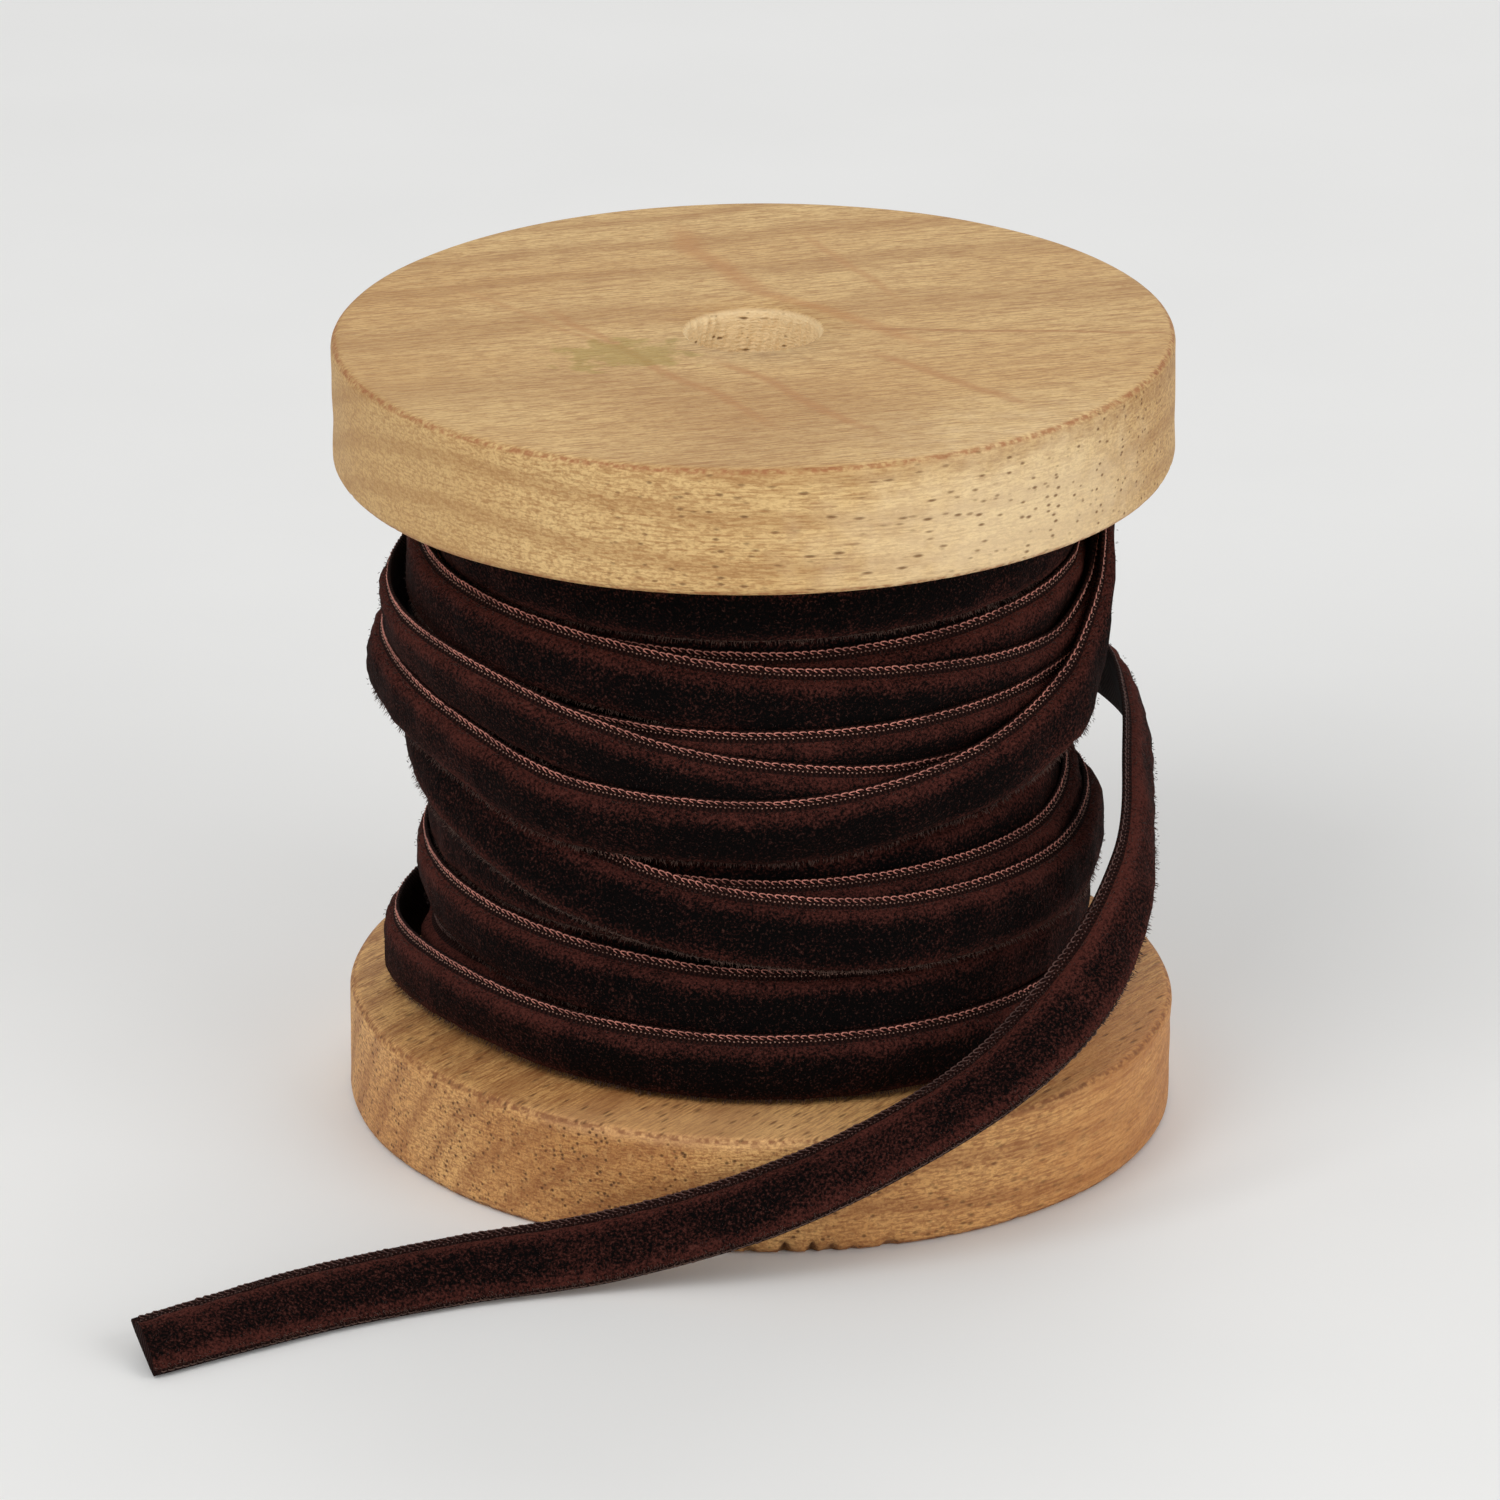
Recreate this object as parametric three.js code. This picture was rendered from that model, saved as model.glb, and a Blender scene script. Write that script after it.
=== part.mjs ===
// Roll of velvet ribbon on a turned wooden spool, with the loose end of the ribbon lying in front.
// Millimetres, +Z up. The origin is the centre of the lower disc's underside, where the spool stands.
// Angles round the spool are degrees from the front (-Y), positive toward the right (+X).
import * as THREE from 'three';
import { mergeVertices } from 'three/addons/utils/BufferGeometryUtils.js';

// Spool
const DISC_RADIUS = 52.5;
const LOWER_DISC_THICKNESS = 15.3;
const UPPER_DISC_THICKNESS = 16.2;
const SPOOL_HEIGHT = 102.3;
const BARREL_RADIUS = 20;
const BORE_RADIUS = 8.4;
const EDGE_ROUND = 1.2;
const SPOOL_LEAN = THREE.MathUtils.degToRad(1.28);
const GLUE_GAP = 0.3;

// Ribbon
const RIBBON_WIDTH = 10;
const RIBBON_THICKNESS = 2.2;
const SELVEDGE_THICKNESS = 0.9;
const SELVEDGE_WIDTH = 1.4;

const UPPER_DISC_UNDERSIDE = SPOOL_HEIGHT - UPPER_DISC_THICKNESS;
const LEAN_SLOPE = Math.tan(SPOOL_LEAN);
const HALF_TURN = 180;
const FULL_TURN = 360;
const { degToRad, clamp, lerp } = THREE.MathUtils;

// Wood

const paleWood = { color: 0xcfa878, roughness: 0.72, metalness: 0 };
const warmWood = { color: 0xbb8a52, roughness: 0.75, metalness: 0 };

function arcPoints(centreX, centreY, radius, fromDegrees, toDegrees, steps = 2) {
  return Array.from({ length: steps + 1 }, (_, i) => {
    const angle = degToRad(lerp(fromDegrees, toDegrees, i / steps));
    return new THREE.Vector2(centreX + radius * Math.cos(angle), centreY + radius * Math.sin(angle));
  });
}

// A lathe profile is turned about Y, so its result is laid over to stand along Z.
function turned(profile, facets) {
  return new THREE.LatheGeometry(profile, facets).rotateX(Math.PI / 2);
}

// Disc with softened rims: solid when boreRadius is 0, otherwise a profile that closes on itself.
function turnedDisc(thickness, boreRadius, facets = 64) {
  const rimX = DISC_RADIUS - EDGE_ROUND;
  const profile = [
    new THREE.Vector2(boreRadius, 0),
    ...arcPoints(rimX, EDGE_ROUND, EDGE_ROUND, -90, 0),
    ...arcPoints(rimX, thickness - EDGE_ROUND, EDGE_ROUND, 0, 90),
    new THREE.Vector2(boreRadius, thickness),
  ];
  if (boreRadius > 0) profile.push(profile[0].clone());
  return turned(profile, facets);
}

// The barrel leans with the upper disc, and its lower end is cut to sit level on the lower disc.
function barrel(facets = 40) {
  const top = UPPER_DISC_UNDERSIDE - GLUE_GAP;
  const bottom = LOWER_DISC_THICKNESS + GLUE_GAP;
  const profile = [
    new THREE.Vector2(BORE_RADIUS, bottom),
    new THREE.Vector2(BARREL_RADIUS, bottom),
    new THREE.Vector2(BARREL_RADIUS, top),
    new THREE.Vector2(BORE_RADIUS, top),
    new THREE.Vector2(BORE_RADIUS, bottom),
  ];
  const geometry = turned(profile, facets);
  const at = geometry.attributes.position;
  const middle = (bottom + top) / 2;
  for (let i = 0; i < at.count; i++) {
    if (at.getZ(i) < middle) at.setZ(i, (bottom - at.getX(i) * Math.sin(SPOOL_LEAN)) / Math.cos(SPOOL_LEAN));
  }
  return geometry;
}

// Wound ribbon

// Outer radius of the buried windings, which the main turns lie on, by height above the floor.
const buriedWinding = [
  { height: 15, radius: 40.4 },
  { height: 34, radius: 40.0 },
  { height: 43, radius: 39.0 },
  { height: 58, radius: 37.6 },
  { height: 72, radius: 38.0 },
  { height: 80, radius: 39.0 },
  { height: 87, radius: 39.4 },
];

// Height of each turn's upper edge as it passes seven stations from right to left across the front,
// and how far it stands off what is under it at those and at one behind the left side. The first row
// is the innermost turn. The last says where the ribbon goes as it comes round the back to leave.
const turns = [
  { heights: [86.0, 85.9, 85.7, 85.3, 84.9, 84.7, 84.5], off: [0, 0, 0, 0, 0, 0, 0, 0] },
  { heights: [79.0, 76.8, 75.0, 74.3, 74.4, 74.5, 74.6], off: [0, 0, 0, 0, 0, 0, 0, 0] },
  { heights: [80.0, 70.9, 72.1, 73.4, 75.3, 76.3, 76.8], off: [0.8, 0.4, 0, 0, 0, 0.2, 0.4, 0.6] },
  { heights: [71.0, 67.0, 66.0, 65.5, 65.0, 64.5, 66.0], off: [0.6, 0, 0, 0, 0, 0.4, 1.4, 2.4] },
  { heights: [47.0, 45.0, 44.8, 44.6, 45.0, 45.0, 45.0], off: [0, 0, 0, 0, 0, 0, 0, 0] },
  { heights: [35.6, 34.0, 33.3, 33.4, 34.6, 36.2, 36.8], off: [0, 0, 0, 0, 0, 0, 0, 0] },
  { heights: [25.7, 25.7, 25.7, 25.6, 25.8, 26.8, 25.9], off: [0, 0, 0, 0, 0.4, 2.4, 6, 0] },
  { heights: [43.5, 42.2, 42.3, 44.0, 47.6, 52.0, 55.5], off: [0, 0, 0, 0, 0, 0.3, 0.8, 0.8] },
  { heights: [62.5, 60.8, 60.3, 62.3, 65.9, 69.0, 70.0], off: [0, 0, 0, 0, 0, 0.8, 2.2, 1.6] },
  { heights: [82.5, 66.8, 60.2, 57.0, 56.7, 60.3, 63.0], off: [0.9, 0.2, 0, 0, 0, 0.2, 0.4, 0.4] },
  { heights: [55.5], off: [3] },
];
const STATION_SPACING = HALF_TURN / 6;
const FIRST_STATION = 90;
const ROLL_COLUMNS = 72;
const ROLL_ROWS = 34;
const LAST_TURN_END = 300;
const WOUND_RADIUS = 43;
const SIDE_STEEPNESS = 3;
const RESTING_POINTS = [-1, -0.75, -0.4, 0, 0.4, 0.75, 1];
const SMOOTHING_REACH = 3;

// A curve through uneven stations, eased so that it doesn't overshoot them.
function eased(stations, where) {
  const last = stations.length - 1;
  if (where <= stations[0].at) return stations[0].value;
  if (where >= stations[last].at) return stations[last].value;
  let k = 0;
  while (stations[k + 1].at < where) k++;
  const gradient = (i) => {
    if (i <= 0 || i >= last) return 0;
    const before = (stations[i].value - stations[i - 1].value) / (stations[i].at - stations[i - 1].at);
    const after = (stations[i + 1].value - stations[i].value) / (stations[i + 1].at - stations[i].at);
    if (before * after <= 0) return 0;
    return (2 * before * after) / (before + after);
  };
  const span = stations[k + 1].at - stations[k].at;
  const t = (where - stations[k].at) / span;
  const rise = (t * t) * (3 - 2 * t);
  return lerp(stations[k].value, stations[k + 1].value, rise)
    + span * (t * (1 - t) * (1 - t) * gradient(k) - t * t * (1 - t) * gradient(k + 1));
}

const heightStations = turns.flatMap((turn, n) =>
  turn.heights.map((value, i) => ({ at: n * FULL_TURN + i * STATION_SPACING, value })));
const offStations = turns.flatMap((turn, n) =>
  turn.off.map((value, i) => ({ at: n * FULL_TURN + i * STATION_SPACING, value })));
const buriedStations = buriedWinding.map(({ height, radius }) => ({ at: height, value: radius }));

const rollBottom = LOWER_DISC_THICKNESS + GLUE_GAP;
const rollTop = UPPER_DISC_UNDERSIDE - 2 * GLUE_GAP;

function rollHeight(row) {
  return lerp(rollBottom, rollTop, row / ROLL_ROWS);
}

function rollRow(height) {
  return (ROLL_ROWS * (height - rollBottom)) / (rollTop - rollBottom);
}

// The pile stands full over the middle of the width, thins to the woven edges and ends in a steep side.
function pileRise(across, halfWidth) {
  const side = Math.abs(across) / halfWidth;
  const beyond = Math.max(Math.abs(across) - halfWidth, 0);
  return lerp(RIBBON_THICKNESS, SELVEDGE_THICKNESS, Math.min(side, 1) ** 5) - beyond * SIDE_STEEPNESS;
}

// Where the ribbon rests at one step: the straight line across its width that bridges what is under it.
function restingLine(skin, middle, halfWidth) {
  const under = RESTING_POINTS.map((share) => {
    const across = share * halfWidth;
    const row = clamp(rollRow(middle + across), 0, ROLL_ROWS);
    const below = Math.min(Math.floor(row), ROLL_ROWS - 1);
    return { across, radius: lerp(skin[below], skin[below + 1], row - below) };
  });
  let best = { radius: 0, tilt: 0 };
  for (const low of under.filter((p) => p.across <= 0)) {
    for (const high of under.filter((p) => p.across > 0)) {
      const tilt = (high.radius - low.radius) / (high.across - low.across);
      const radius = low.radius - tilt * low.across;
      if (radius > best.radius) best = { radius, tilt };
    }
  }
  return best;
}

function smoothed(values, reach) {
  return values.map((_, i) => {
    const near = values.slice(Math.max(0, i - reach), i + reach + 1);
    return near.reduce((sum, value) => sum + value, 0) / near.length;
  });
}

// The ribbon's path over the roll, one entry a column, from the innermost main turn to the leaving end.
function windRibbon() {
  const step = FULL_TURN / ROLL_COLUMNS;
  const skin = buriedSkin();
  const pathLength = ((turns.length - 2) * FULL_TURN + LAST_TURN_END) / step;
  const path = [];
  for (let k = 0; k <= pathLength; k++) {
    const along = k * step;
    const climb = (eased(heightStations, along + step) - eased(heightStations, along - step))
      / (2 * degToRad(step) * WOUND_RADIUS);
    const halfWidth = (RIBBON_WIDTH / 2) * Math.hypot(1, climb);
    const middle = eased(heightStations, along) - halfWidth;
    const column = k % ROLL_COLUMNS;
    const { radius, tilt } = restingLine(skin[column], middle, halfWidth);
    path.push({ column, middle, halfWidth, radius: radius + eased(offStations, along), tilt });
    layOn(skin, path[k]);
  }
  const radii = smoothed(path.map((entry) => entry.radius), SMOOTHING_REACH);
  const tilts = smoothed(path.map((entry) => entry.tilt), SMOOTHING_REACH);
  return path.map((entry, k) => ({ ...entry, radius: radii[k], tilt: tilts[k] }));
}

function buriedSkin() {
  const buried = Array.from({ length: ROLL_ROWS + 1 }, (_, row) => eased(buriedStations, rollHeight(row)));
  return Array.from({ length: ROLL_COLUMNS }, () => [...buried]);
}

function layOn(skin, { column, middle, halfWidth, radius, tilt }) {
  for (let row = 0; row <= ROLL_ROWS; row++) {
    const across = rollHeight(row) - middle;
    const outside = radius + tilt * clamp(across, -halfWidth, halfWidth) + pileRise(across, halfWidth);
    skin[column][row] = Math.max(skin[column][row], outside);
  }
}

// Ring round the leaning barrel whose outside is the wound form, with each main turn standing proud.
function woundRoll() {
  const skin = buriedSkin();
  windRibbon().forEach((entry) => layOn(skin, entry));
  const positions = [];
  const place = (column, radius, row) => {
    const angle = degToRad(FIRST_STATION - (column * FULL_TURN) / ROLL_COLUMNS);
    const reach = radius * Math.sin(angle);
    const lift = row === ROLL_ROWS ? LEAN_SLOPE * reach : 0;
    const height = rollHeight(row) + lift;
    positions.push(reach - height * LEAN_SLOPE, -radius * Math.cos(angle), height);
  };
  for (let column = 0; column < ROLL_COLUMNS; column++) {
    place(column, BARREL_RADIUS + GLUE_GAP, 0);
    for (let row = 0; row <= ROLL_ROWS; row++) place(column, skin[column][row], row);
    place(column, BARREL_RADIUS + GLUE_GAP, ROLL_ROWS);
  }
  const ring = ROLL_ROWS + 3;
  const index = [];
  for (let column = 0; column < ROLL_COLUMNS; column++) {
    const here = column * ring;
    const next = ((column + 1) % ROLL_COLUMNS) * ring;
    for (let k = 0; k < ring; k++) {
      const up = (k + 1) % ring;
      index.push(here + k, here + up, next + up, here + k, next + up, next + k);
    }
  }
  return meshGeometry(positions, index);
}

function meshGeometry(positions, index) {
  const geometry = new THREE.BufferGeometry();
  geometry.setAttribute('position', new THREE.Float32BufferAttribute(positions, 3));
  geometry.setIndex(index);
  return geometry;
}

// Loose end

// Middle of the ribbon's underside from the back right of the roll to the cut end at the front left,
// and the angle that its width makes with the floor, its upper edge being the one toward the spool.
const looseEnd = [
  { x: 23.3, y: 41.6, z: 52, lean: 88 },
  { x: 36.6, y: 33, z: 50, lean: 84 },
  { x: 43.9, y: 20, z: 49.5, lean: 78 },
  { x: 46.2, y: 5, z: 48.8, lean: 72 },
  { x: 46.2, y: -11, z: 46.5, lean: 70 },
  { x: 45.4, y: -26, z: 40.5, lean: 67 },
  { x: 40.6, y: -39.5, z: 33, lean: 50 },
  { x: 30.4, y: -49.5, z: 24, lean: 30 },
  { x: 15.6, y: -55.5, z: 15.8, lean: 32 },
  { x: 0, y: -59, z: 9.5, lean: 42 },
  { x: -18, y: -61, z: 4.6, lean: 42 },
  { x: -36, y: -65.5, z: 3.1, lean: 36 },
  { x: -52, y: -73, z: 2.7, lean: 31 },
  { x: -64, y: -80.5, z: 2.3, lean: 26 },
  { x: -73, y: -86.5, z: 2, lean: 22 },
];
const LOOSE_STEPS = 64;
const FLOOR_CLEARANCE = 0.05;
const END_SLANT = 2;

// Outline across the ribbon: flat underside, woven edges and the shoulders of the pile.
const ribbonSection = [
  { across: -RIBBON_WIDTH / 2, rise: 0 },
  { across: RIBBON_WIDTH / 2, rise: 0 },
  { across: RIBBON_WIDTH / 2, rise: SELVEDGE_THICKNESS },
  { across: RIBBON_WIDTH / 2 - SELVEDGE_WIDTH, rise: RIBBON_THICKNESS },
  { across: SELVEDGE_WIDTH - RIBBON_WIDTH / 2, rise: RIBBON_THICKNESS },
  { across: -RIBBON_WIDTH / 2, rise: SELVEDGE_THICKNESS },
];

function looseSheet() {
  const route = new THREE.CatmullRomCurve3(looseEnd.map(({ x, y, z }) => new THREE.Vector3(x, y, z)));
  const positions = [];
  for (let step = 0; step <= LOOSE_STEPS; step++) {
    const t = step / LOOSE_STEPS;
    const along = route.getTangent(t);
    const inward = new THREE.Vector3(along.y, -along.x, 0).normalize();
    const row = t * (looseEnd.length - 1);
    const from = Math.min(Math.floor(row), looseEnd.length - 2);
    const lean = degToRad(lerp(looseEnd[from].lean, looseEnd[from + 1].lean, row - from));
    const upright = new THREE.Vector3().crossVectors(inward, along);
    const across = inward.clone().multiplyScalar(Math.cos(lean)).addScaledVector(upright, Math.sin(lean));
    const outward = new THREE.Vector3().crossVectors(across, along);
    const slant = END_SLANT * clamp(row - looseEnd.length + 2, 0, 1);
    const middle = route.getPoint(t);
    for (const corner of ribbonSection) {
      const point = middle.clone()
        .addScaledVector(across, corner.across)
        .addScaledVector(outward, corner.rise)
        .addScaledVector(along, (slant * corner.across) / (RIBBON_WIDTH / 2));
      positions.push(point.x, point.y, Math.max(point.z, FLOOR_CLEARANCE));
    }
  }
  const ring = ribbonSection.length;
  const index = [];
  for (let step = 0; step < LOOSE_STEPS; step++) {
    for (let k = 0; k < ring; k++) {
      const a = step * ring + k;
      const b = step * ring + ((k + 1) % ring);
      index.push(a, b + ring, b, a, a + ring, b + ring);
    }
  }
  const endRing = LOOSE_STEPS * ring;
  for (let k = 1; k < ring - 1; k++) {
    index.push(0, k, k + 1);
    index.push(endRing, endRing + k + 1, endRing + k);
  }
  return meshGeometry(positions, index);
}

// Assembly

const velvet = { color: 0x2a1312, roughness: 0.95, metalness: 0 };

function solidNode(name, geometry, finish) {
  geometry.deleteAttribute('normal');
  geometry.deleteAttribute('uv');
  const mesh = new THREE.Mesh(mergeVertices(geometry, 1e-4), new THREE.MeshStandardMaterial(finish));
  mesh.geometry.computeVertexNormals();
  mesh.name = name;
  return mesh;
}

const group = new THREE.Group();
group.add(solidNode('flange_bottom', turnedDisc(LOWER_DISC_THICKNESS, 0), warmWood));
group.add(solidNode('ribbon_roll', woundRoll(), velvet));
group.add(solidNode('ribbon_tail', looseSheet(), velvet));

const leaning = new THREE.Group();
leaning.rotation.y = -SPOOL_LEAN;
leaning.add(solidNode('core', barrel(), warmWood));
const upperDisc = solidNode('flange_top', turnedDisc(UPPER_DISC_THICKNESS, BORE_RADIUS), paleWood);
upperDisc.position.z = UPPER_DISC_UNDERSIDE;
leaning.add(upperDisc);
group.add(leaning);

export default group;
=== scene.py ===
import math

import bpy
import numpy as np
from mathutils import Matrix, Vector


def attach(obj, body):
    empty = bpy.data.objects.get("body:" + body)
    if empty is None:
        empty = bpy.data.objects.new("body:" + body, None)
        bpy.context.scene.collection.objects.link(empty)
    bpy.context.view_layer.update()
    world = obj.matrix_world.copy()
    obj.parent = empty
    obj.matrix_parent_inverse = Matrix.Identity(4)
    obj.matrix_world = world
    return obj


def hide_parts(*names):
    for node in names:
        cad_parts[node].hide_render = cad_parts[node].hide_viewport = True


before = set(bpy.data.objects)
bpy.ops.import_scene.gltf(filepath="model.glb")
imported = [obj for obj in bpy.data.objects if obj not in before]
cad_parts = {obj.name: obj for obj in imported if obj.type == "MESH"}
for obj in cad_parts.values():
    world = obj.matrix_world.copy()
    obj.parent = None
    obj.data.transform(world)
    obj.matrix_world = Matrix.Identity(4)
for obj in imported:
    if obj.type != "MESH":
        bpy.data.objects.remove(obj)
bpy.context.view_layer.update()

# The view: a long lens a metre in front of the spool and a little above it, held very slightly
# off level. Lengths here and below are millimetres, and Blender's are metres.
MM = 0.001
EYE_DISTANCE = 1076.4
EYE_ELEVATION = math.radians(21.04)
EYE_ROLL = math.radians(0.92)
LOOK_AT = Vector((0, 0, 52.5))
SENSOR_WIDTH = 36
FRAME_WIDTH = 1500
FOCAL_PIXELS = 8512.7

eye = bpy.data.objects.new("eye", bpy.data.cameras.new("eye"))
bpy.context.scene.collection.objects.link(eye)
bpy.context.scene.camera = eye
eye.data.sensor_width = SENSOR_WIDTH
eye.data.lens = SENSOR_WIDTH * FOCAL_PIXELS / FRAME_WIDTH
eye.data.shift_x = -0.0104
eye.data.shift_y = -0.0312
ahead = Vector((0, math.cos(EYE_ELEVATION), -math.sin(EYE_ELEVATION)))
level_up = Vector((0, math.sin(EYE_ELEVATION), math.cos(EYE_ELEVATION)))
level_right = Vector((1, 0, 0))
right = level_right * math.cos(EYE_ROLL) + level_up * math.sin(EYE_ROLL)
above = level_up * math.cos(EYE_ROLL) - level_right * math.sin(EYE_ROLL)
place = (LOOK_AT - ahead * EYE_DISTANCE) * MM
eye.matrix_world = Matrix.Translation(place) @ Matrix((right, above, -ahead)).transposed().to_4x4()

# Lower disc: a plain beech disc turned on a lathe and left bare, rubbed down so that its corners are
# soft. Its grain points at the front left, where the open pores of the end grain show as dots.
DISC_RADIUS = 52.5
LOWER_THICKNESS = 15.3
CORNER = 1.2
RIM_DEPTH = 2.5
RIM_UNEVENNESS = 0.05
DISC_COLUMNS = 384

# The rings of points stop at this radius where there is no bore, and the rows beside a corner count
# as this near to it.
CLOSED_HUB = 12
BESIDE_CORNER = 0.3


def ripple(turn, rise, seed, waves=9, finest=60):
    """A smooth uneven wave round the turn, in radians, and up the rise: about -1 to 1."""
    draw = np.random.default_rng(seed)
    total = np.zeros(np.broadcast(turn, rise).shape)
    for _ in range(waves):
        count = draw.integers(2, finest)
        total = total + np.sin(count * turn + draw.uniform(-1.2, 1.2) * rise + draw.uniform(0, 6.28))
    return total / math.sqrt(waves)


def solid(name, points, faces, finishes, marks, which=None):
    """A smooth closed mesh, with named numbers on its points and a choice of finish for each face."""
    mesh = bpy.data.meshes.new(name)
    mesh.from_pydata((np.asarray(points) * MM).tolist(), [], faces)
    for finish in finishes:
        mesh.materials.append(finish)
    if which is not None:
        mesh.polygons.foreach_set("material_index", which)
    mesh.polygons.foreach_set("use_smooth", [True] * len(mesh.polygons))
    for mark, values in marks.items():
        mesh.attributes.new(mark, "FLOAT", "POINT").data.foreach_set("value", np.ravel(values))
    mesh.update()
    piece = bpy.data.objects.new(name, mesh)
    bpy.context.scene.collection.objects.link(piece)
    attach(piece, "root")
    return piece


def disc_outline(thickness, bore):
    """Rows of radius, height and nearness to a corner, from the middle of the underside round."""
    inner = bore if bore else CLOSED_HUB
    rim = DISC_RADIUS - CORNER
    rows = [(r, 0, 0) for r in np.linspace(inner, rim - 1.5, 6)]
    rows += [(rim - 0.6, 0, BESIDE_CORNER)]
    for angle in np.radians(np.linspace(-90, 0, 6)):
        worn = 0.5 - 0.5 * math.sin(2 * angle)
        rows.append((rim + CORNER * math.cos(angle), CORNER * (1 + math.sin(angle)), worn))
    rows += [(DISC_RADIUS, CORNER + 0.5, BESIDE_CORNER)]
    rows += [(DISC_RADIUS, z, 0) for z in np.linspace(CORNER + 1.2, thickness - CORNER - 1.2, 12)]
    rows += [(DISC_RADIUS, thickness - CORNER - 0.5, BESIDE_CORNER)]
    for angle in np.radians(np.linspace(0, 90, 6)):
        worn = 0.5 + 0.5 * math.sin(2 * angle)
        rows.append((rim + CORNER * math.cos(angle), thickness - CORNER * (1 - math.sin(angle)), worn))
    rows += [(rim - 0.6, thickness, BESIDE_CORNER)]
    rows += [(r, thickness, 0) for r in np.linspace(rim - 1.5, inner + 0.5 * bool(bore), 8)]
    if bore:
        rows += [(bore, z, 0) for z in np.linspace(thickness - 0.5, 0.5, 16)]
    return rows


def all_round(outline, columns):
    """Each of the numbers in an outline's rows, repeated for every point of that row's ring."""
    return [np.repeat(numbers[:, None], columns, 1) for numbers in np.array(outline, float).T]


def turned(name, radius, height, finish, marks, lean=0, closed=False):
    """Joins rings of points, one row for each step of the outline, into a solid about the axis. A
    closed outline meets itself, as it does round a bore, and an open one is capped at both ends."""
    rows, columns = radius.shape
    angle = np.linspace(0, 2 * math.pi, columns, endpoint=False)
    points = np.stack([radius * np.cos(angle), radius * np.sin(angle), height], -1).reshape(-1, 3)
    grid = np.arange(rows * columns).reshape(rows, columns)
    if closed:
        grid = np.vstack([grid, grid[:1]])
    here, there = grid[:-1], grid[1:]
    quads = np.stack([here, np.roll(here, -1, 1), np.roll(there, -1, 1), there], -1)
    faces = quads.reshape(-1, 4).tolist()
    if not closed:
        faces += [grid[0][::-1].tolist(), grid[-1].tolist()]
    slope = math.sin(lean)
    upright = math.cos(lean)
    turned_points = points.copy()
    turned_points[:, 0] = points[:, 0] * upright - points[:, 2] * slope
    turned_points[:, 2] = points[:, 0] * slope + points[:, 2] * upright
    return solid(name, turned_points, faces, [finish], marks)


class Wire:
    """A socket in a finish's node tree. Sums and products of wires add their own nodes."""

    def __init__(self, tree, socket=None):
        self.tree = tree
        self.socket = socket

    def node(self, kind, settings=None, values=None, out=0):
        """Any node: first its settings, then the values or the wires that its sockets take."""
        made = self.tree.nodes.new("ShaderNode" + kind)
        for name, value in (settings or {}).items():
            setattr(made, name, value)
        for name, value in (values or {}).items():
            if isinstance(value, Wire):
                self.tree.links.new(value.socket, made.inputs[name])
            else:
                made.inputs[name].default_value = value
        return Wire(self.tree, made.outputs[out])

    def math(self, operation, *values):
        return self.node("Math", {"operation": operation}, dict(enumerate(values)))

    def __add__(self, other):
        return self.math("ADD", self, other)

    def __sub__(self, other):
        return self.math("SUBTRACT", self, other)

    def __rsub__(self, other):
        return self.math("SUBTRACT", other, self)

    def __mul__(self, other):
        return self.math("MULTIPLY", self, other)

    def __truediv__(self, other):
        return self.math("DIVIDE", self, other)

    def __abs__(self):
        return self.math("ABSOLUTE", self)

    __radd__ = __add__
    __rmul__ = __mul__

    def between(self, low, high):
        """0 below low and 1 above high, with a soft step between."""
        settings = {"interpolation_type": "SMOOTHSTEP"}
        return self.node("MapRange", settings, {"Value": self, "From Min": low, "From Max": high})

    def tint(self, under, over):
        """The colour under, with the colour over laid on it as strongly as this wire says."""
        return self.node("Mix", {"data_type": "RGBA"}, {0: self, 6: under, 7: over}, out=2)


def blank_finish(name):
    """A new material's node tree, its surface shader, and its place on the object in millimetres."""
    finish = bpy.data.materials.new(name)
    finish.use_nodes = True
    shader = finish.node_tree.nodes["Principled BSDF"]
    start = Wire(finish.node_tree)
    where = start.node("TexCoord", out="Object")
    where = start.node("VectorMath", {"operation": "SCALE"}, {0: where, "Scale": 1 / MM}, out="Vector")
    return finish, shader, start, where


def connect(start, shader, **wires):
    """Feeds the shader's sockets, each named with an underscore for a space."""
    for name, wire in wires.items():
        start.tree.links.new(wire.socket, shader.inputs[name.replace("_", " ")])


FRESHLY_BORED = (1.0, 0.78, 0.46, 1)


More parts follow.
